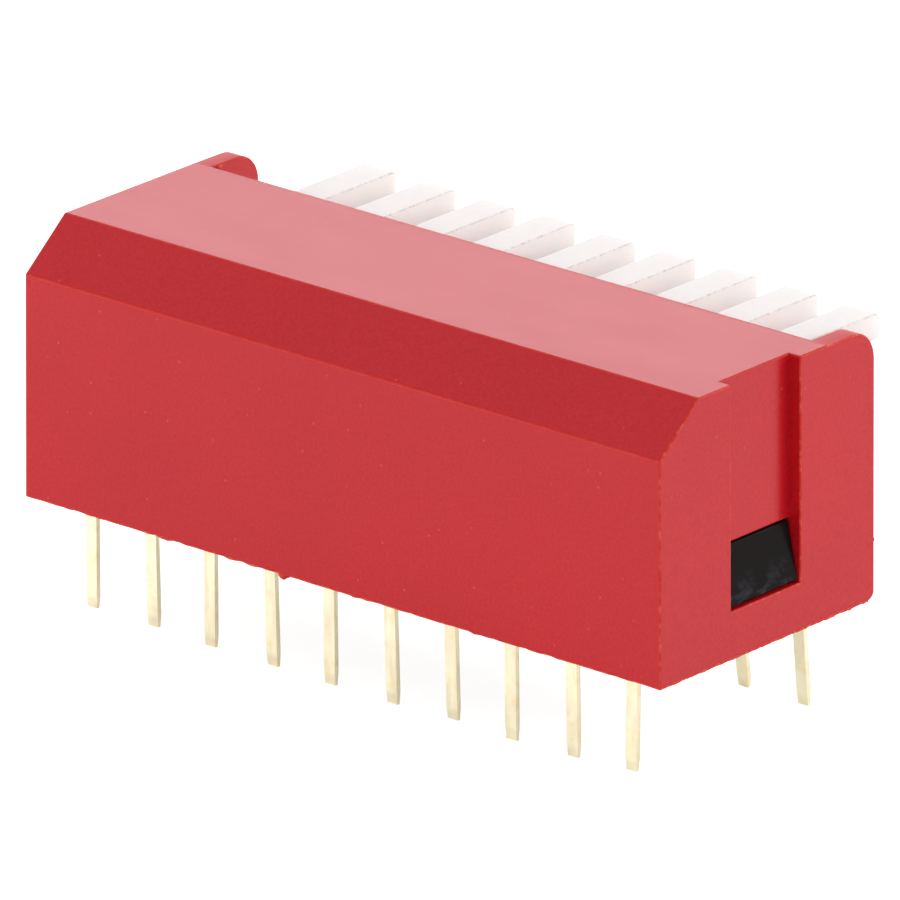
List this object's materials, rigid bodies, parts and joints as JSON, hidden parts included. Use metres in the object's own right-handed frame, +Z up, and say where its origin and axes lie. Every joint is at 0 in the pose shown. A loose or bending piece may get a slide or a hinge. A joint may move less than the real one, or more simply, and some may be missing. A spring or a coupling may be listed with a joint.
{
  "type": "piano dip switch",
  "caption": "Side-lever dual in-line switch: a red sloped cover snapped over a black base, white levers along one side and two rows of gold pins below.",
  "frame": {"origin": "on the board plane (the underside of the housing), midway along the row of ways and midway between the two 7.62 mm hole rows of the board", "axes": "+X along the row of levers, +Y points where the levers stick out, +Z up, away from the board"},
  "size_m": [0.0268, 0.0128, 0.013],
  "materials": {
    "red_cover": "fine matt moulded finish, slightly translucent at thin edges",
    "black_base": "glossy moulded black",
    "white_lever": "smooth translucent nylon",
    "gold_terminal": "thin gold plating, satin with drawn marks",
    "gold_spring": "gold plated spring strip, bright"
  },
  "bodies": {
    "housing": {"cover": "red_cover", "base": "black_base", "back_terminal_01": "gold_terminal", "back_terminal_02": "gold_terminal", "back_terminal_03": "gold_terminal", "back_terminal_04": "gold_terminal", "back_terminal_05": "gold_terminal", "back_terminal_06": "gold_terminal", "back_terminal_07": "gold_terminal", "back_terminal_08": "gold_terminal", "back_terminal_09": "gold_terminal", "back_terminal_10": "gold_terminal", "lever_terminal_01": "gold_terminal", "lever_terminal_02": "gold_terminal", "lever_terminal_03": "gold_terminal", "lever_terminal_04": "gold_terminal", "lever_terminal_05": "gold_terminal", "lever_terminal_06": "gold_terminal", "lever_terminal_07": "gold_terminal", "lever_terminal_08": "gold_terminal", "lever_terminal_09": "gold_terminal", "lever_terminal_10": "gold_terminal"},
    "lever_01": {"actuator_01": "white_lever", "contact_bridge_01": "gold_spring"},
    "lever_02": {"actuator_02": "white_lever", "contact_bridge_02": "gold_spring"},
    "lever_03": {"actuator_03": "white_lever", "contact_bridge_03": "gold_spring"},
    "lever_04": {"actuator_04": "white_lever", "contact_bridge_04": "gold_spring"},
    "lever_05": {"actuator_05": "white_lever", "contact_bridge_05": "gold_spring"},
    "lever_06": {"actuator_06": "white_lever", "contact_bridge_06": "gold_spring"},
    "lever_07": {"actuator_07": "white_lever", "contact_bridge_07": "gold_spring"},
    "lever_08": {"actuator_08": "white_lever", "contact_bridge_08": "gold_spring"},
    "lever_09": {"actuator_09": "white_lever", "contact_bridge_09": "gold_spring"},
    "lever_10": {"actuator_10": "white_lever", "contact_bridge_10": "gold_spring"}
  },
  "joints": [
    {"name": "lever_01_press", "type": "hinge", "parent": "housing", "child": "lever_01", "pos_m": [-0.01143, -0.0023, 0.0063], "axis": [-1, 0, 0], "range_deg": [-13, 0]},
    {"name": "lever_02_press", "type": "hinge", "parent": "housing", "child": "lever_02", "pos_m": [-0.00889, -0.0023, 0.0063], "axis": [-1, 0, 0], "range_deg": [0, 13]},
    {"name": "lever_03_press", "type": "hinge", "parent": "housing", "child": "lever_03", "pos_m": [-0.00635, -0.0023, 0.0063], "axis": [-1, 0, 0], "range_deg": [0, 13]},
    {"name": "lever_04_press", "type": "hinge", "parent": "housing", "child": "lever_04", "pos_m": [-0.00381, -0.0023, 0.0063], "axis": [-1, 0, 0], "range_deg": [0, 13]},
    {"name": "lever_05_press", "type": "hinge", "parent": "housing", "child": "lever_05", "pos_m": [-0.00127, -0.0023, 0.0063], "axis": [-1, 0, 0], "range_deg": [0, 13]},
    {"name": "lever_06_press", "type": "hinge", "parent": "housing", "child": "lever_06", "pos_m": [0.00127, -0.0023, 0.0063], "axis": [-1, 0, 0], "range_deg": [0, 13]},
    {"name": "lever_07_press", "type": "hinge", "parent": "housing", "child": "lever_07", "pos_m": [0.00381, -0.0023, 0.0063], "axis": [-1, 0, 0], "range_deg": [0, 13]},
    {"name": "lever_08_press", "type": "hinge", "parent": "housing", "child": "lever_08", "pos_m": [0.00635, -0.0023, 0.0063], "axis": [-1, 0, 0], "range_deg": [0, 13]},
    {"name": "lever_09_press", "type": "hinge", "parent": "housing", "child": "lever_09", "pos_m": [0.00889, -0.0023, 0.0063], "axis": [-1, 0, 0], "range_deg": [0, 13]},
    {"name": "lever_10_press", "type": "hinge", "parent": "housing", "child": "lever_10", "pos_m": [0.01143, -0.0023, 0.0063], "axis": [-1, 0, 0], "range_deg": [0, 13]}
  ]
}
